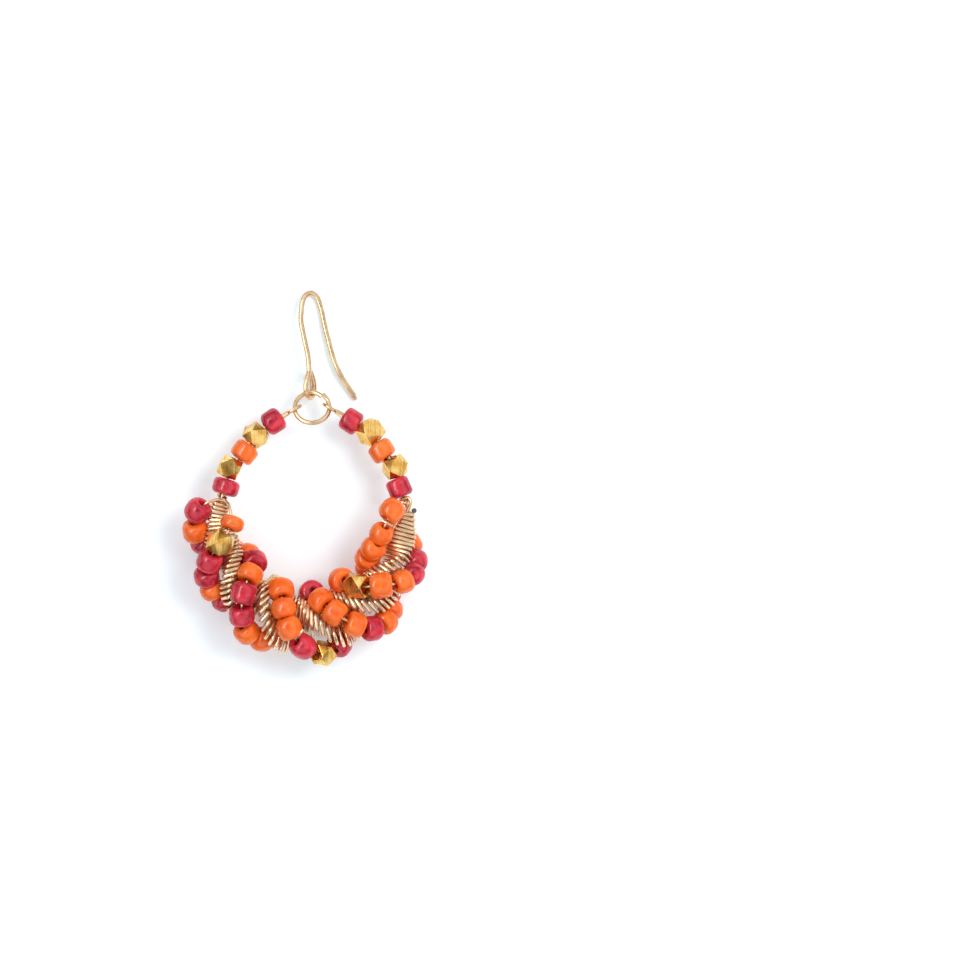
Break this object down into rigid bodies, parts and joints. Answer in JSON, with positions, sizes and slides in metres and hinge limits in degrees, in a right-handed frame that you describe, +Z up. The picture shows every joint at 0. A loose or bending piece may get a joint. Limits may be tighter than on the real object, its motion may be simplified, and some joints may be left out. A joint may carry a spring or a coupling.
{
  "type": "beaded hoop earring",
  "caption": "Beaded hoop earring with an ear hook, a jump ring and a wire hoop, wound with a flat wire coil and two strings of seed beads and gold nuggets.",
  "frame": {"origin": "middle of the earring's outline as it lies, on the surface that it lies on", "axes": "+Z up from that surface, +Y along the earring from the hoop to the ear hook, +X to the right seen from above"},
  "size_m": [0.0398, 0.0602, 0.0114],
  "materials": {
    "gold_wire": "pale gold plating, bright",
    "cast_gold": "matte gold, filed faces",
    "orange_glass": "opaque pressed glass, glossy",
    "burgundy_glass": "opaque pressed glass, glossy, slightly lustrous"
  },
  "bodies": {
    "root": {"ear_hook": "gold_wire", "jump_ring": "gold_wire", "hoop_wire": "gold_wire", "bead_left_1": "burgundy_glass", "bead_left_2": "cast_gold", "bead_left_3": "orange_glass", "bead_left_4": "cast_gold", "bead_left_5": "burgundy_glass", "bead_right_1": "burgundy_glass", "bead_right_2": "cast_gold", "bead_right_3": "orange_glass", "bead_right_4": "cast_gold", "bead_right_5": "burgundy_glass", "wire_coil": "gold_wire", "string_one_orange": "orange_glass", "string_one_burgundy": "burgundy_glass", "string_two_orange": "orange_glass", "string_two_burgundy": "burgundy_glass", "nugget_one": "cast_gold", "nugget_two": "cast_gold", "nugget_three": "cast_gold", "nugget_four": "cast_gold", "thread_one": "gold_wire", "thread_two": "gold_wire"}
  },
  "joints": []
}
